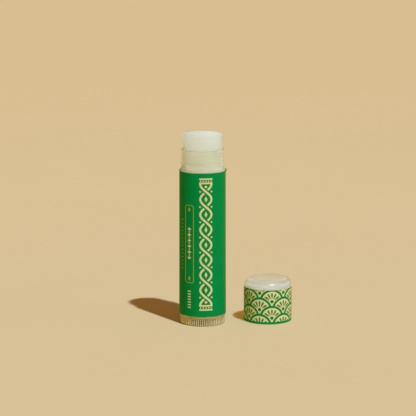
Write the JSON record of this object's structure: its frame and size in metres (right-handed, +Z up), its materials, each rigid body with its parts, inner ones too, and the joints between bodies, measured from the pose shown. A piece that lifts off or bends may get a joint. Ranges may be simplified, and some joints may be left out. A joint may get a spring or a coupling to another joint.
{
  "type": "lip balm stick",
  "caption": "Twist-up lip balm stick standing on its ribbed dial, balm wound up out of the neck, with its labelled cap taken off and stood beside it.",
  "frame": {"origin": "centre of the dial's foot ring, on the table", "axes": "+Z up along the stick's axis, +X from the stick towards its cap, -Y towards the viewer in front of the label"},
  "size_m": [0.0393, 0.0168, 0.066],
  "materials": {
    "barrel_plastic": "natural translucent polypropylene, semi-gloss",
    "dial_plastic": "natural translucent polypropylene, semi-gloss",
    "carrier_plastic": "natural polypropylene",
    "balm": "pale wax balm, soft sheen",
    "body_label_film": "printed film, satin",
    "cap_plastic": "natural translucent polypropylene, semi-gloss",
    "cap_label_film": "printed film, satin"
  },
  "bodies": {
    "tube": {"barrel": "barrel_plastic", "body_label": "body_label_film"},
    "dial": {"dial_and_screw": "dial_plastic"},
    "elevator": {"carrier_cup": "carrier_plastic", "balm_stick": "balm"},
    "cap": {"cap": "cap_plastic", "cap_label": "cap_label_film"}
  },
  "joints": [
    {"name": "dial_turn", "type": "hinge", "parent": "tube", "child": "dial", "pos_m": [0, 0, 0], "axis": [0, 0, 1], "range_deg": [-336, 2010]},
    {"name": "balm_rise", "type": "slide", "parent": "tube", "child": "elevator", "axis": [0, 0, 1], "range_m": [-0.0056, 0.0335]},
    {"name": "cap_lift", "type": "slide", "parent": "tube", "child": "cap", "axis": [0, 0, 1], "range_m": [0, 0.07]}
  ],
  "couplings": [
    {"joint": "dial_turn", "follows": "balm_rise", "rad_per_m": 1047.2}
  ]
}
